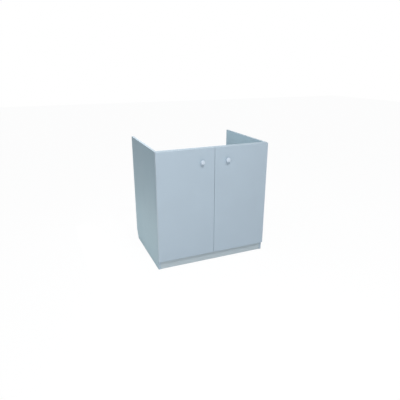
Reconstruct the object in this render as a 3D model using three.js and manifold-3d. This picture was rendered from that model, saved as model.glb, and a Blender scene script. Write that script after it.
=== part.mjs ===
// A sink base cabinet of coated chipboard, in millimetres, +Z up, with the front towards -Y.
// Its top and its back are open: a bowl hangs in from above and the pipes come in from behind.
// Two doors cover the whole front and hang on concealed cup hinges, whose links really turn.
// The origin is on the floor, under the middle of the whole cabinet, knobs included.

import * as THREE from "three";
import { mergeVertices } from "three/addons/utils/BufferGeometryUtils.js";
import Module from "manifold-3d";

// ---- Carcass ----
const WIDTH = 800;
const HEIGHT = 810;
const DEPTH = 578;
const BOARD = 16;
const BOTTOM_UNDERSIDE = 60; // height of the bottom panel's underside above the floor
const BOTTOM_DEPTH = 560;
const PLINTH_SETBACK = 2; // from the sides' front edges to the plinth's face
const FRONT_RAIL_HEIGHT = 70;
const REAR_RAIL_HEIGHT = 100;
const REAR_RAIL_BELOW_TOP = 170;
const HEEL_DEPTH = 35; // the corner cut off the foot of each side, over the skirting board
const HEEL_HEIGHT = 68;

// ---- Doors and knobs ----
const DOOR_THICKNESS = 16;
const DOOR_STANDOFF = 2; // from the sides' front edges to the doors' backs
const DOOR_REVEAL = 1.5; // from the cabinet's side to the door's edge
const DOOR_SPLIT = 2; // between the two doors
const DOOR_BOTTOM = 62;
const DOOR_BELOW_TOP = 1.5;
const KNOB_FROM_MIDDLE = 91;
const KNOB_BELOW_TOP = 90;
const KNOB_DIAMETER = 30;
const KNOB_PROJECTION = 24;
const KNOB_FOOT_DIAMETER = 17;
const KNOB_FOOT_HEIGHT = 3;
const KNOB_NECK_DIAMETER = 12;
const KNOB_CAP_THICKNESS = 15;
const KNOB_RIM = 4; // straight part of the cap's edge
const KNOB_SCREW_DIAMETER = 4;
const KNOB_SCREW_IN_KNOB = 12;
const KNOB_SCREW_HEAD_DIAMETER = 8;
const KNOB_SCREW_HEAD_HEIGHT = 2.2;

// ---- Fittings between the boards: cam, bolt and dowels ----
const CAM_DIAMETER = 15;
const CAM_DEPTH = 12.5;
const CAM_FROM_END = 24; // from the board's end to the cam's centre
const CAM_CROSS_LENGTH = 9;
const CAM_CROSS_WIDTH = 1.6;
const CAM_CROSS_DEPTH = 2.5;
const BOLT_DIAMETER = 5;
const BOLT_IN_SIDE = 11;
const BOLT_COLLAR_DIAMETER = 7;
const BOLT_COLLAR_LENGTH = 3;
const BOLT_NECK_DIAMETER = 3.2;
const BOLT_NECK_LENGTH = 2.5;
const BOLT_HEAD_DIAMETER = 6;
const BOLT_HEAD_LENGTH = 3.5;
const BOLT_PAST_CAM_CENTRE = 1;
const BOLT_HOLE_DIAMETER = 8;
const DOWEL_DIAMETER = 8;
const DOWEL_IN_SIDE = 10;
const DOWEL_FROM_CAM = 24;
const DOWEL_FROM_PLINTH_EDGE = 15;
const BOTTOM_CAM_FROM_FRONT = 60;
const BOTTOM_CAM_FROM_BACK = 60;

// ---- Cup hinges, four alike ----
const HINGE_FROM_DOOR_END = 100;
const CUP_DIAMETER = 35;
const CUP_DEPTH = 13;
const CUP_FROM_DOOR_EDGE = 20.5; // to the cup's centre
const CUP_WALL = 0.9;
const FLANGE_THICKNESS = 1.2;
const FLANGE_HALF_LENGTH = 29;
const FLANGE_WIDTH = 17;
const FLANGE_FROM_CUP_CENTRE = 0.5;
const FLANGE_CORNER_RADIUS = 4;
const SHEET = 1.2; // steel of the arm and the outer link
const INNER_LINK_WIDTH = 4.4;
const LINK_HALF_WIDTH = 1.8;
const INNER_LINK_EYE_RADIUS = 2.6;
const INNER_LINK_BEND_ALONG = 20.3; // where each link is cranked: from its arm pin along the straight way ...
const INNER_LINK_BEND_ASIDE = 5.9; // ... to its cup pin, and aside from that way, to the front
const OUTER_LINK_BEND_ALONG = 28;
const OUTER_LINK_BEND_ASIDE = 3.7;
const OUTER_LINK_EYE_RADIUS = 2.4;
const OUTER_LINK_END_RADIUS = 3;
const OUTER_LINK_WEB_START = 6; // from the arm pin, measured along the link
const OUTER_LINK_WEB_END = 14;
const ARM_PIN_DIAMETER = 2.2;
const CUP_PIN_DIAMETER = 2;
const PIN_HEAD_DIAMETER = 3.8;
const PIN_HEAD_THICKNESS = 0.6;
const PIN_BRIDGE_RADIUS = 1.1;
const PIN_BRIDGE_THICKNESS = 0.8;
const ARM_PIN_FROM_SIDE = 18; // both arm pins, from the side's inner face
const FRONT_ARM_PIN_BEHIND_FRONT = 2.25; // behind the side's front edge
const REAR_ARM_PIN_BEHIND_FRONT = 10;
const INNER_CUP_PIN_FROM_EDGE = 7.65; // from the door's edge
const INNER_CUP_PIN_IN_DOOR = 7.95; // from the door's back
const OUTER_CUP_PIN_FROM_EDGE = 7.45;
const OUTER_CUP_PIN_IN_DOOR = 3;
const SLOT_TOWARDS_CUP = 1.8; // how far the arm pin wanders in the outer link as the door opens
const SLOT_BEYOND_PIN = 1.1;
const SLOT_SIDEWAYS = 0.35;
const NOSE_RADIUS = 2.9;
const ARM_WEB_START = 15.5; // behind the side's front edge
const ARM_HIGH_BACK = 18;
const ARM_LOW_BACK = 28;
const ARM_REAR_HEIGHT = 15; // from the side's inner face to the arm's top over the plate
const ARM_FOOT_HEIGHT = 5;
const ARM_FOOT_START = 26;
const ARM_END = 62;
const PLATE_THICKNESS = 3;
const PLATE_START = 28;
const PLATE_WING_DEPTH = 18;
const PLATE_HALF_HEIGHT = 24;
const PLATE_END = 60;
const PLATE_STEM_HALF_HEIGHT = 8;
const PLATE_CORNER_RADIUS = 3;

// ---- Clearances and facets ----
const FIT = 0.3; // between a piece and the hole or neighbour that holds it
const PIN_FIT = 0.1; // between a hinge pin and the round hole that it turns in
const ROUND = 16; // facets of a middling round
const LARGE_ROUND = 28;
const SMALL_ROUND = 10;
const HIDDEN_ROUND = 8; // rounds that lie inside the boards
const KNOB_ROUND = 20;

// ---- Colours ----
const COATED_BOARD = new THREE.MeshStandardMaterial({ color: 0xa0b7c2, roughness: 0.55, metalness: 0 });
const DOOR_BOARD = new THREE.MeshStandardMaterial({ color: 0xb6c6d2, roughness: 0.45, metalness: 0 });
const KNOB_PLASTIC = new THREE.MeshStandardMaterial({ color: 0xced9e4, roughness: 0.3, metalness: 0 });
const NICKEL = new THREE.MeshStandardMaterial({ color: 0xb9bcc0, roughness: 0.32, metalness: 1 });
const ZINC = new THREE.MeshStandardMaterial({ color: 0xa6a9ad, roughness: 0.5, metalness: 1 });

// ---- Places worked out from the sizes, seen on the left half ----
const SIDE_OUTER = -WIDTH / 2;
const SIDE_INNER = SIDE_OUTER + BOARD;
const DOOR_EDGE = SIDE_OUTER + DOOR_REVEAL;
const DOOR_INNER_EDGE = -DOOR_SPLIT / 2;
const DOOR_BACK = -DOOR_STANDOFF;
const DOOR_FACE = DOOR_BACK - DOOR_THICKNESS;
const DOOR_TOP = HEIGHT - DOOR_BELOW_TOP;
const KNOB_HEIGHT = HEIGHT - KNOB_BELOW_TOP;
const BOTTOM_TOP = BOTTOM_UNDERSIDE + BOARD;
const BOTTOM_MIDDLE = BOTTOM_UNDERSIDE + BOARD / 2;
const REAR_RAIL_TOP = HEIGHT - REAR_RAIL_BELOW_TOP;
const REAR_RAIL_FACE = DEPTH - BOARD;
const CENTRING = (DOOR_STANDOFF + DOOR_THICKNESS + KNOB_PROJECTION - DEPTH) / 2;
const HINGE_LEVELS = {
  lower: DOOR_BOTTOM + HINGE_FROM_DOOR_END,
  upper: DOOR_TOP - HINGE_FROM_DOOR_END,
};

// ---- Shapes ----
const wasm = await Module();
wasm.setup();

const RUN_ALONG_X = new THREE.Matrix4().makeBasis(
  new THREE.Vector3(0, 1, 0),
  new THREE.Vector3(0, 0, 1),
  new THREE.Vector3(1, 0, 0),
);

function solidOf(geometry) {
  const bare = geometry.index ? geometry.toNonIndexed() : geometry.clone();
  for (const name of Object.keys(bare.attributes)) {
    if (name !== "position") bare.deleteAttribute(name);
  }
  const merged = mergeVertices(bare, 1e-4);
  return new wasm.Manifold(
    new wasm.Mesh({
      numProp: 3,
      vertProperties: merged.attributes.position.array,
      triVerts: new Uint32Array(merged.index.array),
    }),
  );
}

function geometryOf(solid) {
  const mesh = solid.getMesh();
  const geometry = new THREE.BufferGeometry();
  geometry.setAttribute("position", new THREE.BufferAttribute(Float32Array.from(mesh.vertProperties), 3));
  geometry.setIndex(new THREE.BufferAttribute(Uint32Array.from(mesh.triVerts), 1));
  const faceted = geometry.toNonIndexed();
  faceted.computeVertexNormals();
  return faceted;
}

function join(...pieces) {
  return geometryOf(pieces.map(solidOf).reduce((whole, piece) => whole.add(piece)));
}

function cut(piece, ...tools) {
  return geometryOf(tools.map(solidOf).reduce((whole, tool) => whole.subtract(tool), solidOf(piece)));
}

function common(first, second) {
  return geometryOf(solidOf(first).intersect(solidOf(second)));
}

// A box between its lowest and its highest corner.
function block(low, high) {
  const size = high.map((value, axis) => value - low[axis]);
  const middle = high.map((value, axis) => (value + low[axis]) / 2);
  return new THREE.BoxGeometry(...size).translate(...middle);
}

// A box whose four edges along one axis are rounded, as on a stamped plate.
function roundedPlate(low, high, axis, radius) {
  const [across, up] = [0, 1, 2].filter((other) => other !== axis);
  const shortened = [across, up].map((cutBack) => {
    const [from, to] = [[...low], [...high]];
    from[cutBack] += radius;
    to[cutBack] -= radius;
    return block(from, to);
  });
  const direction = [0, 0, 0];
  direction[axis] = 1;
  const corners = [low[across] + radius, high[across] - radius].flatMap((place) =>
    [low[up] + radius, high[up] - radius].map((level) => {
      const start = [...low];
      [start[across], start[up]] = [place, level];
      return bar(radius, high[axis] - low[axis], start, direction, ROUND);
    }),
  );
  return join(...shortened, ...corners);
}

// A flat outline in plan, carried upwards from one height to another.
function upright(points, from, to) {
  const outline = new THREE.Shape(points.map(([x, y]) => new THREE.Vector2(x, y)));
  return new THREE.ExtrudeGeometry(outline, { depth: to - from, bevelEnabled: false }).translate(0, 0, from);
}

// A turned piece: its profile is a list of [radius, distance along the axis], from axis to axis.
function turned(profile, start, direction, facets) {
  const points = profile.map(([radius, along]) => new THREE.Vector2(radius, along));
  const turn = new THREE.Quaternion().setFromUnitVectors(new THREE.Vector3(0, 1, 0), new THREE.Vector3(...direction));
  return new THREE.LatheGeometry(points, facets).applyQuaternion(turn).translate(...start);
}

// A plain round bar.
function bar(radius, length, start, direction, facets = SMALL_ROUND) {
  const profile = [
    [0, 0],
    [radius, 0],
    [radius, length],
    [0, length],
  ];
  return turned(profile, start, direction, facets);
}

// An upright round bar through a point of the plan, between two heights.
function post(radius, [x, y], from, to, facets = SMALL_ROUND) {
  return bar(radius, to - from, [x, y, from], [0, 0, 1], facets);
}

// A strip with round ends between two points of the plan, between two heights.
function strip(start, end, startRadius, endRadius, halfWidth, from, to) {
  const along = new THREE.Vector2(end[0] - start[0], end[1] - start[1]).normalize();
  const [sideX, sideY] = [-along.y * halfWidth, along.x * halfWidth];
  const middle = [
    [start[0] - sideX, start[1] - sideY],
    [end[0] - sideX, end[1] - sideY],
    [end[0] + sideX, end[1] + sideY],
    [start[0] + sideX, start[1] + sideY],
  ];
  return join(
    upright(middle, from, to),
    post(startRadius, start, from, to),
    post(endRadius, end, from, to),
  );
}

// A point beside the straight way between two points of the plan: so far along it, and so far to its left.
function beside([x, y], [endX, endY], along, aside) {
  const way = new THREE.Vector2(endX - x, endY - y).normalize();
  return [x + way.x * along - way.y * aside, y + way.y * along + way.x * aside];
}

function mirrored(geometry) {
  const copy = (geometry.index ? geometry.toNonIndexed() : geometry.clone()).scale(-1, 1, 1);
  const values = copy.attributes.position.array;
  for (let i = 0; i < values.length; i += 9) {
    for (let axis = 0; axis < 3; axis += 1) {
      [values[i + 3 + axis], values[i + 6 + axis]] = [values[i + 6 + axis], values[i + 3 + axis]];
    }
  }
  return copy;
}

function bothSides(pieces) {
  return [...pieces, ...pieces.map(mirrored)];
}

// ---- Joints between a board and the side panel ----
// turn is how far the cam's open face is turned about X from facing upwards.
const FACING_DOWN = Math.PI;
const FACING_BACK = -Math.PI / 2;
const CAM_JOINTS = {
  bottom_front: { y: BOTTOM_CAM_FROM_FRONT, z: BOTTOM_MIDDLE, turn: FACING_DOWN },
  bottom_rear: { y: BOTTOM_DEPTH - BOTTOM_CAM_FROM_BACK, z: BOTTOM_MIDDLE, turn: FACING_DOWN },
  front_rail: { y: BOARD / 2, z: HEIGHT - FRONT_RAIL_HEIGHT / 2, turn: FACING_BACK },
  rear_rail: { y: REAR_RAIL_FACE + BOARD / 2, z: REAR_RAIL_TOP - REAR_RAIL_HEIGHT / 2, turn: FACING_BACK },
};

function atJoint(geometry, { y, z, turn }) {
  return geometry.rotateX(turn).translate(SIDE_INNER, y, z);
}

const CAM_FLOOR = BOARD / 2 - CAM_DEPTH;
const CAM_SLOT_HALF = BOLT_HEAD_DIAMETER / 2 + FIT;
const BOLT_LENGTH = CAM_FROM_END + BOLT_PAST_CAM_CENTRE;

function cam(joint) {
  const disc = post(CAM_DIAMETER / 2 - FIT, [CAM_FROM_END, 0], CAM_FLOOR, BOARD / 2, ROUND);
  const slot = block(
    [CAM_FROM_END - CAM_DIAMETER, -CAM_SLOT_HALF, -CAM_SLOT_HALF],
    [BOLT_LENGTH + FIT, CAM_SLOT_HALF, CAM_SLOT_HALF],
  );
  const crossBottom = BOARD / 2 - CAM_CROSS_DEPTH;
  const [reach, half] = [CAM_CROSS_LENGTH / 2, CAM_CROSS_WIDTH / 2];
  const across = block([CAM_FROM_END - reach, -half, crossBottom], [CAM_FROM_END + reach, half, BOARD]);
  const along = block([CAM_FROM_END - half, -reach, crossBottom], [CAM_FROM_END + half, reach, BOARD]);
  return atJoint(cut(disc, slot, across, along), joint);
}

function camBolt(joint) {
  const headStart = BOLT_IN_SIDE + BOLT_LENGTH - BOLT_HEAD_LENGTH;
  const profile = [
    [0, 0],
    [BOLT_DIAMETER / 2, 0],
    [BOLT_DIAMETER / 2, BOLT_IN_SIDE],
    [BOLT_COLLAR_DIAMETER / 2, BOLT_IN_SIDE],
    [BOLT_COLLAR_DIAMETER / 2, BOLT_IN_SIDE + BOLT_COLLAR_LENGTH],
    [BOLT_DIAMETER / 2, BOLT_IN_SIDE + BOLT_COLLAR_LENGTH],
    [BOLT_DIAMETER / 2, headStart - BOLT_NECK_LENGTH],
    [BOLT_NECK_DIAMETER / 2, headStart - BOLT_NECK_LENGTH],
    [BOLT_NECK_DIAMETER / 2, headStart],
    [BOLT_HEAD_DIAMETER / 2, headStart],
    [BOLT_HEAD_DIAMETER / 2, headStart + BOLT_HEAD_LENGTH],
    [0, headStart + BOLT_HEAD_LENGTH],
  ];
  return atJoint(turned(profile, [-BOLT_IN_SIDE, 0, 0], [1, 0, 0], HIDDEN_ROUND), joint);
}

// What a cam joint takes out of the board: the cam's pocket and the bolt's hole from the end.
function camPocket(joint) {
  const pocket = post(CAM_DIAMETER / 2, [CAM_FROM_END, 0], CAM_FLOOR - FIT, BOARD, ROUND);
  const hole = bar(BOLT_HOLE_DIAMETER / 2, CAM_FROM_END + FIT, [-FIT, 0, 0], [1, 0, 0], HIDDEN_ROUND);
  return atJoint(join(pocket, hole), joint);
}

function boltHole(joint) {
  const depth = BOLT_IN_SIDE + FIT;
  return atJoint(bar(BOLT_DIAMETER / 2 + FIT, depth + FIT, [-depth, 0, 0], [1, 0, 0], HIDDEN_ROUND), joint);
}

// Dowels are glued into their board, so they are one solid with it.
const PLINTH_MIDDLE = PLINTH_SETBACK + BOARD / 2;
const DOWEL_SPOTS = {
  bottom: [
    [CAM_JOINTS.bottom_front.y + DOWEL_FROM_CAM, BOTTOM_MIDDLE],
    [CAM_JOINTS.bottom_rear.y - DOWEL_FROM_CAM, BOTTOM_MIDDLE],
  ],
  front_rail: [-1, 1].map((way) => [CAM_JOINTS.front_rail.y, CAM_JOINTS.front_rail.z + way * DOWEL_FROM_CAM]),
  rear_rail: [-1, 1].map((way) => [CAM_JOINTS.rear_rail.y, CAM_JOINTS.rear_rail.z + way * DOWEL_FROM_CAM]),
  plinth: [
    [PLINTH_MIDDLE, DOWEL_FROM_PLINTH_EDGE],
    [PLINTH_MIDDLE, BOTTOM_UNDERSIDE - DOWEL_FROM_PLINTH_EDGE],
  ],
};

function dowel([y, z]) {
  const start = [SIDE_INNER - DOWEL_IN_SIDE, y, z];
  return bar(DOWEL_DIAMETER / 2, DOWEL_IN_SIDE + BOARD, start, [1, 0, 0], HIDDEN_ROUND);
}

function dowelHole([y, z]) {
  const depth = DOWEL_IN_SIDE + FIT;
  return bar(DOWEL_DIAMETER / 2 + FIT, depth + FIT, [SIDE_INNER - depth, y, z], [1, 0, 0], HIDDEN_ROUND);
}

// A board from side to side, with its dowels and its cam pockets at both ends.
function crossBoard(front, back, bottom, top, dowelSpots, camJoints) {
  const board = block([SIDE_INNER, front, bottom], [-SIDE_INNER, back, top]);
  const whole = join(board, ...bothSides(dowelSpots.map(dowel)));
  return camJoints.length ? cut(whole, ...bothSides(camJoints.map(camPocket))) : whole;
}

// ---- Boards ----
function sidePanel() {
  const outline = [
    [0, 0],
    [DEPTH - HEEL_DEPTH, 0],
    [DEPTH, HEEL_HEIGHT],
    [DEPTH, HEIGHT],
    [0, HEIGHT],
  ];
  const board = upright(outline, SIDE_OUTER, SIDE_INNER).applyMatrix4(RUN_ALONG_X);
  const holes = [...Object.values(CAM_JOINTS).map(boltHole), ...Object.values(DOWEL_SPOTS).flat().map(dowelHole)];
  return cut(board, ...holes);
}

function bottomPanel() {
  const joints = [CAM_JOINTS.bottom_front, CAM_JOINTS.bottom_rear];
  return crossBoard(0, BOTTOM_DEPTH, BOTTOM_UNDERSIDE, BOTTOM_TOP, DOWEL_SPOTS.bottom, joints);
}

function plinthBoard() {
  return crossBoard(PLINTH_SETBACK, PLINTH_SETBACK + BOARD, 0, BOTTOM_UNDERSIDE, DOWEL_SPOTS.plinth, []);
}

function frontRail() {
  return crossBoard(0, BOARD, HEIGHT - FRONT_RAIL_HEIGHT, HEIGHT, DOWEL_SPOTS.front_rail, [CAM_JOINTS.front_rail]);
}

function rearRail() {
  const bottom = REAR_RAIL_TOP - REAR_RAIL_HEIGHT;
  return crossBoard(REAR_RAIL_FACE, DEPTH, bottom, REAR_RAIL_TOP, DOWEL_SPOTS.rear_rail, [CAM_JOINTS.rear_rail]);
}

// ---- Doors ----
const CUP_CENTRE_X = DOOR_EDGE + CUP_FROM_DOOR_EDGE;

function door() {
  const board = block([DOOR_EDGE, DOOR_FACE, DOOR_BOTTOM], [DOOR_INNER_EDGE, DOOR_BACK, DOOR_TOP]);
  const cupBores = Object.values(HINGE_LEVELS).map((level) => {
    const start = [CUP_CENTRE_X, DOOR_BACK - CUP_DEPTH - FIT, level];
    return bar(CUP_DIAMETER / 2 + FIT, CUP_DEPTH + 2 * FIT, start, [0, 1, 0], LARGE_ROUND);
  });
  const screwHole = bar(
    KNOB_SCREW_DIAMETER / 2 + FIT,
    DOOR_THICKNESS + 2 * FIT,
    [-KNOB_FROM_MIDDLE, DOOR_FACE - FIT, KNOB_HEIGHT],
    [0, 1, 0],
  );
  return cut(board, ...cupBores, screwHole);
}

// A round knob: foot, waisted neck and a domed cap, with a blind hole for its screw.
function knob() {
  const capStart = KNOB_PROJECTION - KNOB_CAP_THICKNESS;
  const cap = KNOB_DIAMETER / 2;
  const foot = KNOB_FOOT_DIAMETER / 2;
  const neck = KNOB_NECK_DIAMETER / 2;
  const hole = KNOB_SCREW_DIAMETER / 2 + FIT;
  const holeDepth = KNOB_SCREW_IN_KNOB + FIT;
  const domeHeight = KNOB_CAP_THICKNESS - KNOB_RIM - 3;
  const rimTop = KNOB_PROJECTION - domeHeight;
  const dome = [0, 25, 50, 70, 90].map((degrees) => {
    const angle = THREE.MathUtils.degToRad(degrees);
    return [cap * Math.cos(angle), rimTop + domeHeight * Math.sin(angle)];
  });
  dome[dome.length - 1] = [0, KNOB_PROJECTION];
  const profile = [
    [0, holeDepth],
    [hole, holeDepth],
    [hole, 0],
    [foot, 0],
    [foot, KNOB_FOOT_HEIGHT],
    [neck, KNOB_FOOT_HEIGHT + 3],
    [neck, capStart - 1],
    [cap - 3, capStart + 1],
    [cap, rimTop - KNOB_RIM],
    ...dome,
  ];
  return turned(profile, [-KNOB_FROM_MIDDLE, DOOR_FACE, KNOB_HEIGHT], [0, -1, 0], KNOB_ROUND);
}

function knobScrew() {
  const head = KNOB_SCREW_HEAD_DIAMETER / 2;
  const shank = KNOB_SCREW_DIAMETER / 2;
  const end = KNOB_SCREW_HEAD_HEIGHT + DOOR_THICKNESS + KNOB_SCREW_IN_KNOB;
  const profile = [
    [0, 0],
    [head, 0],
    [head, KNOB_SCREW_HEAD_HEIGHT],
    [shank, KNOB_SCREW_HEAD_HEIGHT],
    [shank, end],
    [0, end],
  ];
  return turned(profile, [-KNOB_FROM_MIDDLE, DOOR_BACK + KNOB_SCREW_HEAD_HEIGHT, KNOB_HEIGHT], [0, -1, 0], SMALL_ROUND);
}

// ---- Cup hinges, seen in plan on the left side ----
// The inner link joins the front arm pin to the deep cup pin, the outer link the rear arm pin to the shallow one.
// Both are cranked, so that they reach round the side's front edge and out of the cup when the door is open.
// Across the hinge the pieces lie in layers on both sides of its middle plane.
const ARM_PIN_X = SIDE_INNER + ARM_PIN_FROM_SIDE;
const FRONT_ARM_PIN = [ARM_PIN_X, FRONT_ARM_PIN_BEHIND_FRONT];
const REAR_ARM_PIN = [ARM_PIN_X, REAR_ARM_PIN_BEHIND_FRONT];
const INNER_CUP_PIN = [DOOR_EDGE + INNER_CUP_PIN_FROM_EDGE, DOOR_BACK - INNER_CUP_PIN_IN_DOOR];
const OUTER_CUP_PIN = [DOOR_EDGE + OUTER_CUP_PIN_FROM_EDGE, DOOR_BACK - OUTER_CUP_PIN_IN_DOOR];
const INNER_LINK_FACE = INNER_LINK_WIDTH / 2;
const LEG_INSIDE = INNER_LINK_FACE + FIT;
const LEG_OUTSIDE = LEG_INSIDE + SHEET;
const ARM_INSIDE = LEG_OUTSIDE + FIT;
const ARM_OUTSIDE = ARM_INSIDE + SHEET;
const CHEEK_INSIDE = ARM_OUTSIDE + PIN_HEAD_THICKNESS + FIT;
const CHEEK_OUTSIDE = CHEEK_INSIDE + SHEET;
const ARM_PIN_RADIUS = ARM_PIN_DIAMETER / 2;
const CUP_PIN_RADIUS = CUP_PIN_DIAMETER / 2;

// The same layer above and below the hinge's middle plane.
function layers(level, inside, outside, make) {
  return [make(level - outside, level - inside), make(level + inside, level + outside)];
}

function hingeCup(level) {
  const back = [CUP_CENTRE_X, DOOR_BACK - CUP_DEPTH, level];
  const shell = bar(CUP_DIAMETER / 2, CUP_DEPTH, back, [0, 1, 0], LARGE_ROUND);
  const hollowStart = [CUP_CENTRE_X, DOOR_BACK - CUP_DEPTH + CUP_WALL, level];
  const hollow = bar(CUP_DIAMETER / 2 - CUP_WALL, CUP_DEPTH, hollowStart, [0, 1, 0], LARGE_ROUND);
  const cheeks = layers(level, CHEEK_INSIDE, CHEEK_OUTSIDE, (from, to) =>
    block([CUP_CENTRE_X - CUP_DIAMETER, DOOR_BACK - CUP_DEPTH, from], [CUP_CENTRE_X + CUP_DIAMETER, DOOR_BACK, to]),
  );
  const flangeStart = CUP_CENTRE_X + FLANGE_FROM_CUP_CENTRE;
  const flange = roundedPlate(
    [flangeStart, DOOR_BACK, level - FLANGE_HALF_LENGTH],
    [flangeStart + FLANGE_WIDTH, DOOR_BACK + FLANGE_THICKNESS, level + FLANGE_HALF_LENGTH],
    1,
    FLANGE_CORNER_RADIUS,
  );
  const fittedCheeks = cheeks.map((cheek) => common(cheek, shell));
  const mouth = block(
    [CUP_CENTRE_X - CUP_DIAMETER, DOOR_BACK - FIT, level - CHEEK_INSIDE],
    [CUP_CENTRE_X + CUP_DIAMETER / 2 - CUP_WALL, DOOR_BACK + CUP_DEPTH, level + CHEEK_INSIDE],
  );
  const pinHoles = [INNER_CUP_PIN, OUTER_CUP_PIN].map((spot) =>
    post(CUP_PIN_RADIUS + PIN_FIT, spot, level - CHEEK_OUTSIDE - FIT, level + CHEEK_OUTSIDE + FIT),
  );
  return cut(join(cut(shell, hollow), ...fittedCheeks, cut(flange, mouth)), ...pinHoles);
}

// The deep pin runs right through; the shallow one is a short stud on each side, so that the inner link passes.
function cupPins(level) {
  const end = CHEEK_OUTSIDE + FIT;
  const bridges = layers(level, end, end + PIN_BRIDGE_THICKNESS, (from, to) =>
    strip(INNER_CUP_PIN, OUTER_CUP_PIN, PIN_BRIDGE_RADIUS, PIN_BRIDGE_RADIUS, PIN_BRIDGE_RADIUS, from, to),
  );
  const studs = layers(level, LEG_INSIDE, end + FIT, (from, to) => post(CUP_PIN_RADIUS, OUTER_CUP_PIN, from, to));
  const pin = post(CUP_PIN_RADIUS, INNER_CUP_PIN, level - end - FIT, level + end + FIT);
  return join(pin, ...bridges, ...studs);
}

function innerLink(level) {
  const [from, to] = [level - INNER_LINK_FACE, level + INNER_LINK_FACE];
  const [eye, half] = [INNER_LINK_EYE_RADIUS, LINK_HALF_WIDTH];
  const bend = beside(FRONT_ARM_PIN, INNER_CUP_PIN, INNER_LINK_BEND_ALONG, INNER_LINK_BEND_ASIDE);
  return cut(
    join(strip(FRONT_ARM_PIN, bend, eye, half, half, from, to), strip(bend, INNER_CUP_PIN, half, eye, half, from, to)),
    post(ARM_PIN_RADIUS + PIN_FIT, FRONT_ARM_PIN, from - FIT, to + FIT),
    post(CUP_PIN_RADIUS + PIN_FIT, INNER_CUP_PIN, from - FIT, to + FIT),
  );
}

// A fork of two legs with a web between them. Its arm pin runs in a slot, not in a round hole.
function outerLink(level) {
  const [end, half] = [OUTER_LINK_END_RADIUS, LINK_HALF_WIDTH];
  const onLink = (along, aside) => beside(REAR_ARM_PIN, OUTER_CUP_PIN, along, aside);
  const [slotStart, slotEnd] = [onLink(-SLOT_BEYOND_PIN, 0), onLink(SLOT_TOWARDS_CUP, 0)];
  const bend = onLink(OUTER_LINK_BEND_ALONG, OUTER_LINK_BEND_ASIDE);
  const legs = layers(level, LEG_INSIDE, LEG_OUTSIDE, (from, to) =>
    join(
      strip(slotStart, slotEnd, end, end, end, from, to),
      strip(slotEnd, bend, half, half, half, from, to),
      strip(bend, OUTER_CUP_PIN, half, OUTER_LINK_EYE_RADIUS, half, from, to),
    ),
  );
  const onStraight = (along, aside) => beside(slotEnd, bend, along - SLOT_TOWARDS_CUP, aside);
  const web = [
    onStraight(OUTER_LINK_WEB_START, -half),
    onStraight(OUTER_LINK_WEB_END, -half),
    onStraight(OUTER_LINK_WEB_END, SHEET - half),
    onStraight(OUTER_LINK_WEB_START, SHEET - half),
  ];
  const slotRadius = ARM_PIN_RADIUS + SLOT_SIDEWAYS + FIT;
  const [low, high] = [level - LEG_OUTSIDE, level + LEG_OUTSIDE];
  return cut(
    join(...legs, upright(web, low, high)),
    strip(slotStart, slotEnd, slotRadius, slotRadius, slotRadius, low - FIT, high + FIT),
    post(CUP_PIN_RADIUS + PIN_FIT, OUTER_CUP_PIN, low - FIT, high + FIT),
  );
}

// A channel over the mounting plate, whose two walls run on to a nose that holds the arm pins.
function hingeArm(level) {
  const top = ARM_PIN_X + NOSE_RADIUS + SHEET;
  const rearTop = SIDE_INNER + ARM_REAR_HEIGHT;
  const foot = SIDE_INNER + ARM_FOOT_HEIGHT;
  const [noseLeft, noseRight] = [ARM_PIN_X - NOSE_RADIUS, ARM_PIN_X + NOSE_RADIUS];
  const outline = [
    [noseLeft, FRONT_ARM_PIN[1]],
    [noseRight, FRONT_ARM_PIN[1]],
    [top, ARM_WEB_START],
    [top, ARM_HIGH_BACK],
    [rearTop, ARM_LOW_BACK],
    [rearTop, ARM_END],
    [foot, ARM_END],
    [foot, ARM_FOOT_START],
    [noseLeft, ARM_WEB_START],
  ];
  const inside = [
    [SIDE_OUTER, FRONT_ARM_PIN[1] - CUP_DEPTH],
    [top + SHEET, FRONT_ARM_PIN[1] - CUP_DEPTH],
    [top + SHEET, ARM_WEB_START],
    [top - SHEET, ARM_WEB_START],
    [top - SHEET, ARM_HIGH_BACK - SHEET / 2],
    [rearTop - SHEET, ARM_LOW_BACK - SHEET / 2],
    [rearTop - SHEET, ARM_END + SHEET],
    [SIDE_OUTER, ARM_END + SHEET],
  ];
  const [low, high] = [level - ARM_OUTSIDE, level + ARM_OUTSIDE];
  const body = join(upright(outline, low, high), post(NOSE_RADIUS, FRONT_ARM_PIN, low, high, ROUND));
  return cut(
    body,
    upright(inside, level - ARM_INSIDE, level + ARM_INSIDE),
    post(ARM_PIN_RADIUS + PIN_FIT, REAR_ARM_PIN, low - FIT, high + FIT),
    post(ARM_PIN_RADIUS + PIN_FIT, FRONT_ARM_PIN, low - FIT, high + FIT),
  );
}

function armPin(spot, level) {
  const [head, shank] = [PIN_HEAD_DIAMETER / 2, ARM_PIN_RADIUS];
  const shankEnd = PIN_HEAD_THICKNESS + 2 * ARM_OUTSIDE;
  const profile = [
    [0, 0],
    [head, 0],
    [head, PIN_HEAD_THICKNESS],
    [shank, PIN_HEAD_THICKNESS],
    [shank, shankEnd],
    [head, shankEnd],
    [head, shankEnd + PIN_HEAD_THICKNESS],
    [0, shankEnd + PIN_HEAD_THICKNESS],
  ];
  return turned(profile, [...spot, level - ARM_OUTSIDE - PIN_HEAD_THICKNESS], [0, 0, 1], SMALL_ROUND);
}

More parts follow.
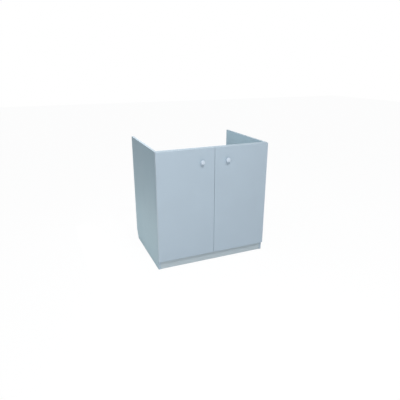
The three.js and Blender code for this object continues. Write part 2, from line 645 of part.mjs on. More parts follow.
// A cross-shaped base on the side panel, with the ridge that the arm is clamped to.
function mountingPlate(level) {
  const top = SIDE_INNER + PLATE_THICKNESS;
  const wings = roundedPlate(
    [SIDE_INNER, PLATE_START, level - PLATE_HALF_HEIGHT],
    [top, PLATE_START + PLATE_WING_DEPTH, level + PLATE_HALF_HEIGHT],
    0,
    PLATE_CORNER_RADIUS,
  );
  const stem = block(
    [SIDE_INNER, PLATE_START, level - PLATE_STEM_HALF_HEIGHT],
    [top, PLATE_END, level + PLATE_STEM_HALF_HEIGHT],
  );
  const ridge = block(
    [SIDE_INNER, PLATE_START, level - ARM_INSIDE + FIT],
    [SIDE_INNER + ARM_REAR_HEIGHT - SHEET - FIT, PLATE_END, level + ARM_INSIDE - FIT],
  );
  return join(wings, stem, ridge);
}

// ---- Assembly ----
function part(name, geometry, material) {
  const mesh = new THREE.Mesh(geometry, material);
  mesh.name = name;
  return mesh;
}

// Everything that the two halves have alike, made for the left one and mirrored for the right one.
function half(side) {
  const group = new THREE.Group();
  group.add(
    part(`side_panel_${side}`, sidePanel(), COATED_BOARD),
    part(`door_${side}`, door(), DOOR_BOARD),
    part(`knob_${side}`, knob(), KNOB_PLASTIC),
    part(`knob_screw_${side}`, knobScrew(), NICKEL),
  );
  for (const [name, joint] of Object.entries(CAM_JOINTS)) {
    group.add(
      part(`cam_${name}_${side}`, cam(joint), ZINC),
      part(`cam_bolt_${name}_${side}`, camBolt(joint), NICKEL),
    );
  }
  for (const [place, level] of Object.entries(HINGE_LEVELS)) {
    const hinge = `hinge_${side}_${place}`;
    group.add(
      part(`${hinge}_cup`, hingeCup(level), NICKEL),
      part(`${hinge}_cup_pins`, cupPins(level), NICKEL),
      part(`${hinge}_inner_link`, innerLink(level), NICKEL),
      part(`${hinge}_outer_link`, outerLink(level), NICKEL),
      part(`${hinge}_arm`, hingeArm(level), NICKEL),
      part(`${hinge}_arm_pin_rear`, armPin(REAR_ARM_PIN, level), NICKEL),
      part(`${hinge}_arm_pin_front`, armPin(FRONT_ARM_PIN, level), NICKEL),
      part(`${hinge}_plate`, mountingPlate(level), ZINC),
    );
  }
  return group;
}

const rightHalf = half("right");
rightHalf.scale.x = -1;

const cabinet = new THREE.Group();
cabinet.add(
  part("bottom_panel", bottomPanel(), COATED_BOARD),
  part("plinth_board", plinthBoard(), COATED_BOARD),
  part("front_rail", frontRail(), COATED_BOARD),
  part("rear_rail", rearRail(), COATED_BOARD),
  half("left"),
  rightHalf,
);
cabinet.position.y = CENTRING;

export default cabinet;
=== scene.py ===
"""Sink base cabinet of coated chipboard: its finishes, eased edges and small fittings on the frame.

All lengths are in metres, in the cabinet's own frame: +Z up, the doors towards -Y.
"""

import math

import bmesh
import bpy
import numpy as np
from mathutils import Matrix, Vector


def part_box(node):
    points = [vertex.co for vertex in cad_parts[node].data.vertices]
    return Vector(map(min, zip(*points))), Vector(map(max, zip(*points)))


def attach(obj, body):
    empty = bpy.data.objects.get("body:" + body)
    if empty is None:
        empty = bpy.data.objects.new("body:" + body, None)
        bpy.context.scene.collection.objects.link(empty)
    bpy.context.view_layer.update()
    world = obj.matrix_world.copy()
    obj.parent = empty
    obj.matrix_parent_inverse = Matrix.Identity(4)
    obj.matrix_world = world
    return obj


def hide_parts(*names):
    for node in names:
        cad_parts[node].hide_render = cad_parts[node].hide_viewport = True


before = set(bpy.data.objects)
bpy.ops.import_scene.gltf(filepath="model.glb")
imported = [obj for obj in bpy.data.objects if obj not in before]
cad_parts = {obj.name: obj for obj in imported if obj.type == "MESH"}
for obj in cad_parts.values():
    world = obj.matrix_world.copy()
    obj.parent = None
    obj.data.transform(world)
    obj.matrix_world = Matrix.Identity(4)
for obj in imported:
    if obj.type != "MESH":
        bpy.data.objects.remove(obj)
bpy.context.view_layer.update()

SIDES = {"left": -1, "right": 1}
LEVELS = ("lower", "upper")
MM = 0.001

# ---- Colours, as seen on the screen ----
# The carcass tone is the doors' film set darker, as painted shade of the sides.
CARCASS_SHADED_TONE = (160, 183, 194)
DOOR_TONE = (182, 198, 210)
# The plinth tone is the doors' film set paler, as painted light thrown up from the floor.
PLINTH_LIT_TONE = (190, 202, 207)
BAND_TONE = (177, 194, 206)
PEARL_TONE = (228, 236, 242)
CORE_DARK = (158, 128, 92)
CORE_LIGHT = (219, 196, 160)
# The pits' tone is painted shade in the hollows between chips.
PIT_SHADE_TONE = (126, 98, 68)
KNOB_TONE = (209, 221, 232)
NICKEL_TONE = (198, 200, 203)
ZINC_TONE = (168, 171, 175)
ZINC_SPECK_TONE = (120, 122, 126)
BUMPER_TONE = (221, 226, 228)
DUST_TONE = (200, 200, 196)
PAPER_TONE = (250, 250, 250)
SKY_TONE = (246, 250, 255)
LAMP_TONE = (255, 255, 255)
LOW_LAMP_TONE = (255, 253, 242)
WHITE = (1.0, 1.0, 1.0, 1.0)


def colour(tone):
    """Linear colour of a screen tone c from 0 to 1.

    It is c / 12.92 up to 0.04045, else ((c + 0.055) / 1.055) to the power 2.4.
    """
    level = np.array(tone, float) / 255
    linear = np.where(level <= 0.04045, level / 12.92, ((level + 0.055) / 1.055) ** 2.4)
    return (*linear.tolist(), 1.0)


def placed(name, data):
    """An object of the scene with this mesh, lamp or camera in it."""
    made = bpy.data.objects.new(name, data)
    bpy.context.scene.collection.objects.link(made)
    return made


# ---- Shader building ----
class Bench:
    """A node tree under construction."""

    def __init__(self, tree):
        self.tree = tree

    def wire(self, socket, value):
        """Links a socket to another one, or sets its plain value."""
        if isinstance(value, bpy.types.NodeSocket):
            self.tree.links.new(value, socket)
        else:
            socket.default_value = value

    def put(self, kind, inputs=None, **settings):
        """A new node with its settings made and its inputs wired or set."""
        made = self.tree.nodes.new(kind)
        for name, value in settings.items():
            setattr(made, name, value)
        for key, value in (inputs or {}).items():
            self.wire(made.inputs[key], value)
        return made

    def calc(self, operation, *values):
        """A Math node's result, with the values at its inputs in turn."""
        return self.put("ShaderNodeMath", dict(enumerate(values)), operation=operation).outputs[0]

    def spread(self, value, low, high, to_low, to_high):
        """value carried from one span to another, held at the span's ends."""
        inputs = {"Value": value, "From Min": low, "From Max": high}
        inputs.update({"To Min": to_low, "To Max": to_high})
        return self.put("ShaderNodeMapRange", inputs).outputs["Result"]

    def mix(self, share, first, second, blend="MIX"):
        """A colour between two others. A Mix node has its colours at inputs 6 and 7, output 2."""
        inputs = {0: share, 6: first, 7: second}
        return self.put("ShaderNodeMix", inputs, data_type="RGBA", blend_type=blend).outputs[2]

    def stretch(self, place, scale):
        """Coordinates scaled along each axis: a scale below 1 draws the pattern out."""
        return self.put("ShaderNodeMapping", {"Vector": place, "Scale": scale}).outputs["Vector"]

    def noise(self, place, scale, detail=2.0, roughness=0.5):
        """Soft cloudy noise from 0 to 1, with about this many clouds in a metre."""
        inputs = {"Vector": place, "Scale": scale, "Detail": detail, "Roughness": roughness}
        return self.put("ShaderNodeTexNoise", inputs).outputs["Fac"]


def cleared(owner):
    """The bench of a material's or the world's own tree, emptied first."""
    owner.use_nodes = True
    owner.node_tree.nodes.clear()
    return Bench(owner.node_tree)


def effect(name, inputs, outputs):
    """An empty node group with named sockets: its bench, what it is given and what it gives."""
    tree = bpy.data.node_groups.new(name, "ShaderNodeTree")
    for way, sockets in (("INPUT", inputs), ("OUTPUT", outputs)):
        for label, kind in sockets.items():
            tree.interface.new_socket(name=label, in_out=way, socket_type="NodeSocket" + kind)
    bench = Bench(tree)
    return bench, bench.put("NodeGroupInput").outputs, bench.put("NodeGroupOutput").inputs


def make_pressed_grain():
    """Fine texture pressed into a surface: soft bumps of one size with finer ones between them."""
    bench, given, gives = effect(
        "pressed_grain",
        {"Place": "Vector", "Grain Size": "Float"},
        {"Height": "Float", "Fleck": "Float"},
    )
    finer_by, finer_share = 2.7, 0.35
    scale = bench.calc("DIVIDE", 1.0, given["Grain Size"])
    bumps = bench.noise(given["Place"], scale, 2.0, 0.55)
    finer = bench.noise(given["Place"], bench.calc("MULTIPLY", scale, finer_by), 1.0)
    bench.wire(gives["Height"], bench.calc("MULTIPLY_ADD", finer, finer_share, bumps))
    bench.wire(gives["Fleck"], bench.spread(bumps, 0.35, 0.65, 0.0, 1.0))
    return bench.tree


def make_tone_drift():
    """Slow change of a colour over the surface: a little lighter and darker from patch to patch."""
    bench, given, gives = effect(
        "tone_drift",
        {"Place": "Vector", "Color": "Color", "Patch Size": "Float", "Strength": "Float"},
        {"Color": "Color"},
    )
    patches = bench.noise(given["Place"], bench.calc("DIVIDE", 1.0, given["Patch Size"]), 3.0)
    swing = bench.spread(patches, 0.3, 0.7, -1.0, 1.0)
    level = bench.calc("MULTIPLY_ADD", swing, given["Strength"], 1.0)
    channels = {"Red": level, "Green": level, "Blue": level}
    grey = bench.put("ShaderNodeCombineColor", channels).outputs["Color"]
    bench.wire(gives["Color"], bench.mix(1.0, given["Color"], grey, "MULTIPLY"))
    return bench.tree


def make_rubbed_sheen():
    """Roughness that varies where hands and cloths rubbed: upright smears over small smudges."""
    bench, given, gives = effect(
        "rubbed_sheen",
        {"Place": "Vector", "Roughness": "Float", "Smear Size": "Float", "Strength": "Float"},
        {"Roughness": "Float"},
    )
    upright_pull, smudges_by, smudge_share = 0.3, 6.0, 0.4
    scale = bench.calc("DIVIDE", 1.0, given["Smear Size"])
    pulled = bench.stretch(given["Place"], (1.0, 1.0, upright_pull))
    smears = bench.noise(pulled, scale, 4.0, 0.6)
    smudges = bench.noise(given["Place"], bench.calc("MULTIPLY", scale, smudges_by), 2.0)
    both = bench.calc("MULTIPLY_ADD", smudges, smudge_share, smears)
    change = bench.spread(both, 0.45, 0.95, -1.0, 1.0)
    varied = bench.calc("MULTIPLY_ADD", change, given["Strength"], given["Roughness"])
    bench.wire(gives["Roughness"], varied)
    return bench.tree


def make_settled_dust():
    """Dust on what faces upwards, thicker in some places: a share of its colour and roughness."""
    bench, given, gives = effect(
        "settled_dust",
        {
            "Place": "Vector",
            "Color": "Color",
            "Roughness": "Float",
            "Dust Color": "Color",
            "Amount": "Float",
        },
        {"Color": "Color", "Roughness": "Float"},
    )
    patch_count, dust_roughness = 14.0, 0.9
    facing = bench.put("ShaderNodeNewGeometry").outputs["Normal"]
    upwards = bench.put("ShaderNodeSeparateXYZ", {"Vector": facing}).outputs["Z"]
    lies = bench.spread(upwards, 0.6, 0.95, 0.0, 1.0)
    clouds = bench.noise(given["Place"], patch_count, 5.0, 0.65)
    patches = bench.spread(clouds, 0.35, 0.7, 0.25, 1.0)
    share = bench.calc("MULTIPLY", bench.calc("MULTIPLY", lies, patches), given["Amount"])
    bench.wire(gives["Color"], bench.mix(share, given["Color"], given["Dust Color"]))
    rougher = bench.calc("SUBTRACT", dust_roughness, given["Roughness"])
    bench.wire(gives["Roughness"], bench.calc("MULTIPLY_ADD", rougher, share, given["Roughness"]))
    return bench.tree


PRESSED_GRAIN = make_pressed_grain()
TONE_DRIFT = make_tone_drift()
RUBBED_SHEEN = make_rubbed_sheen()
SETTLED_DUST = make_settled_dust()


def spaced(values):
    """The same values under their sockets' own names, which have spaces."""
    return {key.replace("_", " "): value for key, value in values.items()}


class Finish:
    """A material with its shader, and the shared effects placed in it."""

    def __init__(self, name, **shader):
        self.material = bpy.data.materials.new(name)
        self.bench = cleared(self.material)
        self.shader = self.bench.put("ShaderNodeBsdfPrincipled", spaced(shader))
        self.bench.put("ShaderNodeOutputMaterial", {"Surface": self.shader.outputs["BSDF"]})
        self.place = self.bench.put("ShaderNodeTexCoord").outputs["Object"]

    def use(self, effect_tree, **values):
        """An effect's outputs, with the piece's own coordinates and these values going in."""
        inputs = {"Place": self.place, **spaced(values)}
        return self.bench.put("ShaderNodeGroup", inputs, node_tree=effect_tree).outputs

    def grain(self, size):
        """The pressed grain's height and flecks."""
        return self.use(PRESSED_GRAIN, Grain_Size=size)

    def drift(self, tone, patch_size, strength):
        """A colour that is a little uneven."""
        return self.use(TONE_DRIFT, Color=tone, Patch_Size=patch_size, Strength=strength)["Color"]

    def rub(self, roughness, smear_size, strength):
        """A roughness that is a little uneven."""
        values = {"Roughness": roughness, "Smear_Size": smear_size, "Strength": strength}
        return self.use(RUBBED_SHEEN, **values)["Roughness"]

    def complete(self, tone, roughness, height, depth, dust=0.0):
        """Feeds the shader a colour and a roughness, dusty if asked, and bump of a real depth."""
        if dust:
            values = {"Color": tone, "Roughness": roughness, "Amount": dust}
            dusty = self.use(SETTLED_DUST, Dust_Color=colour(DUST_TONE), **values)
            tone, roughness = dusty["Color"], dusty["Roughness"]
        inputs = {"Height": height, "Distance": depth, "Strength": 1.0}
        bump = self.bench.put("ShaderNodeBump", inputs)
        fed = {"Base Color": tone, "Roughness": roughness, "Normal": bump.outputs["Normal"]}
        for name, value in fed.items():
            self.bench.wire(self.shader.inputs[name], value)
        return self.material


def coated(name, tone, roughness, gloss, grain=0.6 * MM, depth=0.02 * MM):
    """Melamine film or edge band on chipboard: satin, faintly pearled, a little uneven in tone."""
    finish = Finish(name, IOR=1.5, Specular_IOR_Level=gloss)
    pearl_share = 0.05
    pressed = finish.grain(grain)
    drifted = finish.drift(colour(tone), patch_size=0.22, strength=0.014)
    flecks = finish.bench.calc("MULTIPLY", pressed["Fleck"], pearl_share)
    pearled = finish.bench.mix(flecks, drifted, colour(PEARL_TONE))
    sheen = finish.rub(roughness, smear_size=0.12, strength=0.05)
    return finish.complete(pearled, sheen, pressed["Height"], depth, dust=0.12)


def chipboard_core():
    """Sawn edge of the board: flat chips of light and dark wood, 1 to 3 mm, and pits between them
    in painted shade.
    """
    finish = Finish("chipboard_core", IOR=1.45)
    bench = finish.bench
    chip_count, chip_shape, chip_rise = 420.0, (1.0, 0.55, 1.4), 0.5
    flat = bench.stretch(finish.place, chip_shape)
    inputs = {"Vector": flat, "Scale": chip_count, "Randomness": 1.0}
    chips = bench.put("ShaderNodeTexVoronoi", inputs)
    pick = bench.put("ShaderNodeSeparateColor", {"Color": chips.outputs["Color"]}).outputs["Red"]
    wood = bench.mix(pick, colour(CORE_DARK), colour(CORE_LIGHT))
    # Painted shade: the pits between chips are darkened in colour, not cut by the bump.
    pits = bench.spread(chips.outputs["Distance"], 0.45, 0.8, 0.0, 0.6)
    drifted = finish.drift(bench.mix(pits, wood, colour(PIT_SHADE_TONE)), patch_size=0.03, strength=0.08)
    fibre = finish.grain(0.35 * MM)
    height = bench.calc("MULTIPLY_ADD", pick, chip_rise, fibre["Height"])
    return finish.complete(drifted, 0.85, height, 0.12 * MM, dust=0.15)


def moulded_plastic():
    """Knobs: pale blue-grey plastic, nearly smooth, with faint orange peel and rubbed places."""
    gloss = {"Specular_IOR_Level": 0.3, "Coat_Weight": 0.05, "Coat_Roughness": 0.2}
    finish = Finish("moulded_plastic", IOR=1.5, **gloss)
    pressed = finish.grain(1.2 * MM)
    drifted = finish.drift(colour(KNOB_TONE), patch_size=0.02, strength=0.012)
    sheen = finish.rub(0.3, smear_size=0.012, strength=0.06)
    return finish.complete(drifted, sheen, pressed["Height"], 0.012 * MM, dust=0.08)


def plated_steel():
    """Nickel on pressed steel: bright, with drawing lines along the strip, dulled in patches."""
    finish = Finish("plated_steel", Metallic=1.0)
    line_count, line_pull = 2600.0, 0.06
    drawn = finish.bench.stretch(finish.place, (1.0, line_pull, 1.0))
    lines = finish.bench.noise(drawn, line_count, 3.0, 0.6)
    drifted = finish.drift(colour(NICKEL_TONE), patch_size=0.015, strength=0.05)
    sheen = finish.rub(0.27, smear_size=0.02, strength=0.07)
    return finish.complete(drifted, sheen, lines, 0.008 * MM, dust=0.1)


def cast_zinc():
    """Die-cast zinc: grey, sandy, dull."""
    finish = Finish("cast_zinc", Metallic=1.0)
    speck_share = 0.18
    sandy = finish.grain(0.25 * MM)
    drifted = finish.drift(colour(ZINC_TONE), patch_size=0.01, strength=0.07)
    specks = finish.bench.calc("MULTIPLY", sandy["Fleck"], speck_share)
    speckled = finish.bench.mix(specks, drifted, colour(ZINC_SPECK_TONE))
    sheen = finish.rub(0.46, smear_size=0.02, strength=0.06)
    return finish.complete(speckled, sheen, sandy["Height"], 0.02 * MM, dust=0.12)


def bumper_rubber():
    """Door bumpers: milky soft plastic."""
    finish = Finish("bumper_rubber", IOR=1.42)
    pressed = finish.grain(0.4 * MM)
    drifted = finish.drift(colour(BUMPER_TONE), patch_size=0.004, strength=0.03)
    sheen = finish.rub(0.38, smear_size=0.006, strength=0.08)
    return finish.complete(drifted, sheen, pressed["Height"], 0.01 * MM)


# The carcass film is the door film darkened as painted shade.
CARCASS_SHADED_FILM = coated("carcass_film_painted_shade", CARCASS_SHADED_TONE, roughness=0.55, gloss=0.2)
DOOR_FILM = coated("door_film", DOOR_TONE, roughness=0.46, gloss=0.35)
# The plinth film is the door film lightened as painted light.
PLINTH_LIT_FILM = coated("plinth_film_painted_light", PLINTH_LIT_TONE, roughness=0.46, gloss=0.35)
EDGE_BAND = coated("edge_band", BAND_TONE, 0.42, 0.4, grain=0.9 * MM, depth=0.012 * MM)
CORE = chipboard_core()
KNOB_PLASTIC = moulded_plastic()
NICKEL = plated_steel()
ZINC = cast_zinc()
RUBBER = bumper_rubber()


# ---- Pieces ----
def add_piece(name, mesh, body, materials, replaced=()):
    """A piece of the object: its mesh, the body that carries it and its finishes."""
    piece = placed(name, mesh)
    for material in materials:
        mesh.materials.append(material)
    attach(piece, body)
    if replaced:
        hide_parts(*replaced)
    return piece


EASE_STEPS = 3
EASED_CORNER = math.radians(50)


def ease(piece, width, band_index=-1, weighted=False):
    """Rounds the sharp edges by a real width, and keeps the broad faces flat in the light."""
    bevel = piece.modifiers.new("eased_edges", "BEVEL")
    bevel.width = width
    bevel.segments = EASE_STEPS
    bevel.limit_method = "WEIGHT" if weighted else "ANGLE"
    bevel.angle_limit = EASED_CORNER
    bevel.material = band_index
    bevel.use_clamp_overlap = True
    flat = piece.modifiers.new("flat_faces", "WEIGHTED_NORMAL")
    flat.keep_sharp = True


WELD_REACH = 2e-6
FLAT_TURN = math.radians(0.5)


def welded_copy(node):
    """A node's own shape with its loose triangles joined and its flat faces made whole again."""
    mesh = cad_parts[node].data.copy()
    mesh.materials.clear()
    shape = bmesh.new()
    shape.from_mesh(mesh)
    bmesh.ops.remove_doubles(shape, verts=shape.verts, dist=WELD_REACH)
    bmesh.ops.dissolve_limit(shape, angle_limit=FLAT_TURN, verts=shape.verts, edges=shape.edges)
    return mesh, shape


FILM, BAND, RAW = 0, 1, 2
BAND_THICKNESS = 0.8 * MM
SQUARE_ON = 0.999  # a normal's share along an axis, past which a face counts as square to it
PLANE_SLACK = 0.1 * MM
BOARD_CORNER = math.radians(40)


def board(name, node, body, slot, film, thin_axis, banded):
    """A coated board: film on its broad faces, bands on the named narrow ones, bare core elsewhere.

    A face belongs to the board's outside when it lies in a plane of the board's box.
    """
    low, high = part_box(node)
    mesh, shape = welded_copy(node)
    weight = shape.edges.layers.float.new("bevel_weight_edge")
    for face in shape.faces:
        axis = max(range(3), key=lambda i: abs(face.normal[i]))
        flat = abs(face.normal[axis]) > SQUARE_ON
        plane = high[axis] if face.normal[axis] > 0 else low[axis]
        outside = flat and abs(face.calc_center_median()[axis] - plane) < PLANE_SLACK
        way = "-+"[face.normal[axis] > 0] + "xyz"[axis]
        face.material_index = RAW
        if outside and axis == thin_axis:
            face.material_index = FILM
        elif outside and way in banded:
            face.material_index = BAND
        face.smooth = True
    for seam in shape.edges:
        faces = seam.link_faces
        dressed = len(faces) == 2 and all(face.material_index != RAW for face in faces)
        turns = len(faces) == 2 and faces[0].normal.angle(faces[1].normal) > BOARD_CORNER
        seam[weight] = 1.0 if dressed and turns else 0.0
        seam.smooth = not turns
    shape.to_mesh(mesh)
    shape.free()
    piece = add_piece(name, mesh, body, (film, EDGE_BAND, CORE), [node])
    ease(piece, BAND_THICKNESS, BAND, weighted=True)
    return piece


METAL_CORNER = math.radians(42)


def pressed_part(name, node, body, material, width):
    """A metal part in its own shape, its round faces smooth and its corners eased."""
    mesh, shape = welded_copy(node)
    for face in shape.faces:
        face.smooth = True
    shape.to_mesh(mesh)
    shape.free()
    mesh.set_sharp_from_angle(angle=METAL_CORNER)
    piece = add_piece(name, mesh, body, [material], [node])
    ease(piece, width)
    return piece


def square_pair(axis):
    """Two unit vectors square to an axis and to each other."""
    helper = np.array((0, 0, 1.0)) if abs(axis[2]) < 0.9 else np.array((1.0, 0, 0))
    first = np.cross(helper, axis)
    first /= np.linalg.norm(first)
    return first, np.cross(axis, first)


def angles(around):
    """Equal steps round one full turn."""
    return np.arange(around) * 2 * np.pi / around


def round_surface(name, radius, height, centre, axis, around):
    """P(s, t) = centre + axis h(s, t) + r(s) (u cos t + v sin t), with u and v square to the axis.

    radius is r at each step s, without the two poles; height is h there, one value for each step or
    for each step and each angle t. The first and last rings close on the axis at their mean height.
    """
    radius = np.asarray(radius, float)
    height = np.asarray(height, float).reshape(len(radius), -1)
    height = np.broadcast_to(height, (len(radius), around))
    t = angles(around)
    axis = np.array(axis, float) / np.linalg.norm(axis)
    u, v = square_pair(axis)
    ring = np.outer(np.cos(t), u) + np.outer(np.sin(t), v)
    points = np.array(centre) + height[:, :, None] * axis + radius[:, None, None] * ring[None]
    poles = np.array(centre) + np.outer((height[0].mean(), height[-1].mean()), axis)
    vertices = np.vstack((points.reshape(-1, 3), poles))
    step, turn = np.meshgrid(np.arange(len(radius) - 1), np.arange(around), indexing="ij")
    corner = step * around + turn
    beside = step * around + (turn + 1) % around
    quads = np.stack((corner, beside, beside + around, corner + around), -1).reshape(-1, 4)
    here, next_one = np.arange(around), (np.arange(around) + 1) % around
    last = (len(radius) - 1) * around
    first_pole = np.full(around, len(vertices) - 2)
    last_pole = np.full(around, len(vertices) - 1)
    start = np.stack((next_one, here, first_pole), -1)
    end = np.stack((last + here, last + next_one, last_pole), -1)
    mesh = bpy.data.meshes.new(name)
    mesh.from_pydata(vertices.tolist(), [], quads.tolist() + start.tolist() + end.tolist())
    mesh.shade_smooth()
    mesh.update()
    return mesh


def flowing(points, per_span):
    """A smooth line through points: each span is the cubic of its ends b, c and neighbours a, d.

    It is half of 2 b + (c - a) t + (2 a - 5 b + 4 c - d) t^2 + (3 b - a - 3 c + d) t^3.
    """
    p = np.array(points, float)
    before, after = np.vstack((p[:1], p[:-2])), np.vstack((p[2:], p[-1:]))
    t = (np.arange(per_span) / per_span)[None, :, None]
    a, b, c, d = (x[:, None, :] for x in (before, p[:-1], p[1:], after))
    square = (2 * a - 5 * b + 4 * c - d) * t**2
    cube = (3 * b - a - 3 * c + d) * t**3
    line = 0.5 * (2 * b + (c - a) * t + square + cube)
    return np.vstack((line.reshape(-1, p.shape[1]), p[-1:]))


# ---- Boards ----
X_AXIS, Y_AXIS, Z_AXIS = 0, 1, 2


def dress_boards():
    """Sides, doors, bottom, plinth and rails: the axis each is thin along, and its banded faces."""
    fixed = ("carcass", "carcass_board")
    all_round = {"-x", "+x", "-z", "+z"}
    for side in SIDES:
        panel, door = f"side_panel_{side}", f"door_{side}"
        board(f"side_board_{side}", panel, *fixed, CARCASS_SHADED_FILM, X_AXIS, {"-y", "+z"})
        board(f"door_board_{side}", door, door, "door_board", DOOR_FILM, Y_AXIS, all_round)
    board("bottom_board", "bottom_panel", *fixed, CARCASS_SHADED_FILM, Z_AXIS, {"-y"})
    board("plinth_face_board", "plinth_board", *fixed, PLINTH_LIT_FILM, Y_AXIS, set())
    for rail in ("front_rail", "rear_rail"):
        board(f"{rail}_board", rail, *fixed, CARCASS_SHADED_FILM, Y_AXIS, {"+z", "-z"})


# ---- Screws ----
SCREW_AROUND = 40
HEAD_RINGS = 15
RIM_SHARE = 0.35  # how much of the head's rise is left at its rim
SCREW_CORNER = math.radians(50)


def cross_recess(radius, turn, length, width, depth):
    """Depth of a cross recess at r, t: d S((w/2 - low) / e + 1/2) S((l/2 - high) / e + 1/2).

    low and high are the smaller and the larger of |r cos t| and |r sin t|, S holds its value
    between 0 and 1, and e is a quarter of w.
    """
    x, y = np.abs(radius * np.cos(turn)), np.abs(radius * np.sin(turn))
    edge = 0.25 * width
    within = np.clip((width / 2 - np.minimum(x, y)) / edge + 0.5, 0, 1)
    reach = np.clip((length / 2 - np.maximum(x, y)) / edge + 0.5, 0, 1)
    return depth * within * reach


def screw(name, body, slot, material, seat, axis, head, rise, shank=(), replaced=()):
    """A cross-head screw on a face: h(r, t) = rise (0.35 + 0.65 (1 - (r / R)^2)) less the recess.

    Then come the rim and, where shank gives a radius and a length, the shank below the seat.
    """
    inner = np.linspace(0.08, 1.0, HEAD_RINGS) * head
    turn = angles(SCREW_AROUND)
    dome = rise * (RIM_SHARE + (1 - RIM_SHARE) * (1 - (inner / head) ** 2))
    length, width, depth = 1.25 * head, 0.42 * head, 0.72 * rise
    top = dome[:, None] - cross_recess(inner[:, None], turn[None, :], length, width, depth)
    tail_radius, tail_height = [head, head * 0.9], [0.12 * rise, 0.0]
    if shank:
        thickness, reach = shank
        tail_radius += [thickness, thickness, thickness * 0.6]
        tail_height += [0.0, -reach * 0.9, -reach]
    radius = np.concatenate((inner, tail_radius))
    tail = np.repeat(np.array(tail_height)[:, None], SCREW_AROUND, axis=1)
    mesh = round_surface(name, radius, np.vstack((top, tail)), seat, axis, SCREW_AROUND)
    mesh.set_sharp_from_angle(angle=SCREW_CORNER)
    return add_piece(name, mesh, body, [material], replaced)


# ---- Knobs ----
KNOB_LINE = (
    # radius, distance from the door's face, both in mm
    (8.5, 0.0), (8.5, 2.0), (8.1, 3.0),  # foot
    (6.9, 4.2), (6.1, 5.8), (6.2, 7.6), (7.8, 8.9),  # neck
    (11.6, 10.0), (14.2, 11.2), (15.0, 12.9), (15.0, 15.6),  # rim
    (14.4, 18.4), (13.0, 20.8), (10.7, 22.4), (7.4, 23.3), (3.8, 23.8), (1.0, 24.0),  # cap
)
KNOB_STEPS = 4
KNOB_AROUND = 72
KNOB_SCREW_HEAD = 4 * MM
KNOB_SCREW_RISE = 2.2 * MM
KNOB_SCREW_SHANK = (2 * MM, 28 * MM)


def dress_knobs():
    """Each knob is one flowing line carried round its screw, which comes from the door's back."""
    line = flowing(KNOB_LINE, KNOB_STEPS) * MM
    for side in SIDES:
        door = f"door_{side}"
        low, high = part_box(f"knob_{side}")
        middle = (low + high) / 2
        face, back = (corner.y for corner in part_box(door))
        name = f"knob_{side}_body"
        foot, outwards = (middle.x, face, middle.z), (0, -1, 0)
        mesh = round_surface(name, line[:, 0], line[:, 1], foot, outwards, KNOB_AROUND)
        add_piece(name, mesh, door, [KNOB_PLASTIC], [f"knob_{side}"])
        seat, backwards = (middle.x, back, middle.z), (0, 1, 0)
        screw(
            f"knob_{side}_screw", door, "nickel_steel", NICKEL, seat, backwards,
            KNOB_SCREW_HEAD, KNOB_SCREW_RISE, KNOB_SCREW_SHANK, [f"knob_screw_{side}"],
        )


# ---- Hinges ----
STRIP_EASE = 0.25 * MM
PIN_EASE = 0.12 * MM
PLATE_EASE = 0.4 * MM
PLATE_WING = 3 * MM
WING_SCREW_SPREAD = 16 * MM
WING_MIDDLE = 9 * MM  # behind the plate's front end
WING_SCREW = (4.0 * MM, 1.5 * MM)  # radius and rise of the head, as for the two below
FLANGE_SCREW = (3.3 * MM, 1.0 * MM)
ARM_SCREW = (3.4 * MM, 1.6 * MM)
ARM_RISE = 15 * MM  # the arm's flat top over the side panel
ARM_SCREWS_AHEAD = {"front": 24 * MM, "rear": 8 * MM}  # ahead of the arm's rear end
CUP_RADIUS = 17.5 * MM
FLANGE_SCREW_INSET = 9.5 * MM  # from the cup's axis towards the door's middle
FLANGE_SCREW_SPREAD = 22.5 * MM


def dress_hinges():
    """Every pressed piece in its own shape with eased corners, and the screws round it."""
    for side, way in SIDES.items():
        door, carcass = f"door_{side}", "carcass"
        pieces = {
            "cup": (door, STRIP_EASE),
            "cup_pins": (door, PIN_EASE),
            "inner_link": (f"inner_links_{side}", STRIP_EASE),
            "outer_link": (f"outer_links_{side}", STRIP_EASE),
            "arm": (carcass, STRIP_EASE),
            "arm_pin_rear": (carcass, PIN_EASE),
            "arm_pin_front": (carcass, PIN_EASE),
        }
        for level in LEVELS:
            hinge = f"hinge_{side}_{level}"
            for piece, (body, width) in pieces.items():
                name = f"{hinge}_{piece}_steel"
                pressed_part(name, f"{hinge}_{piece}", body, NICKEL, width)
            name = f"{hinge}_plate_casting"
            pressed_part(name, f"{hinge}_plate", carcass, ZINC, PLATE_EASE)
            add_hinge_screws(hinge, way, door)


def add_hinge_screws(hinge, way, door):
    """Two screws in the cup's flange, two in the plate's wings and two that adjust the arm."""
    cup_low, cup_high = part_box(f"{hinge}_cup")
    plate_low, plate_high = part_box(f"{hinge}_plate")
    arm_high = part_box(f"{hinge}_arm")[1]
    level = (cup_low.z + cup_high.z) / 2
    cup_edge = cup_low.x if way < 0 else cup_high.x
    wall = plate_low.x if way < 0 else plate_high.x
    inwards, backwards = (-way, 0, 0), (0, 1, 0)
    flange_x = cup_edge - way * (CUP_RADIUS + FLANGE_SCREW_INSET)
    for end, up in (("top", 1), ("bottom", -1)):
        seat = (flange_x, cup_high.y, level + up * FLANGE_SCREW_SPREAD)
        name = f"{hinge}_flange_screw_{end}"
        screw(name, door, "nickel_steel", NICKEL, seat, backwards, *FLANGE_SCREW)
    for end, up in (("top", 1), ("bottom", -1)):
        wing_y = plate_low.y + WING_MIDDLE
        seat = (wall - way * PLATE_WING, wing_y, level + up * WING_SCREW_SPREAD)
        name = f"{hinge}_wing_screw_{end}"
        screw(name, "carcass", "nickel_steel", NICKEL, seat, inwards, *WING_SCREW)
    for end, ahead in ARM_SCREWS_AHEAD.items():
        seat = (wall - way * ARM_RISE, arm_high.y - ahead, level)
        name = f"{hinge}_arm_screw_{end}"
        screw(name, "carcass", "nickel_steel", NICKEL, seat, inwards, *ARM_SCREW)


# ---- Cams and bolts ----
CAM_PLACES = ("bottom_front", "bottom_rear", "front_rail", "rear_rail")
CAM_EASE = 0.2 * MM


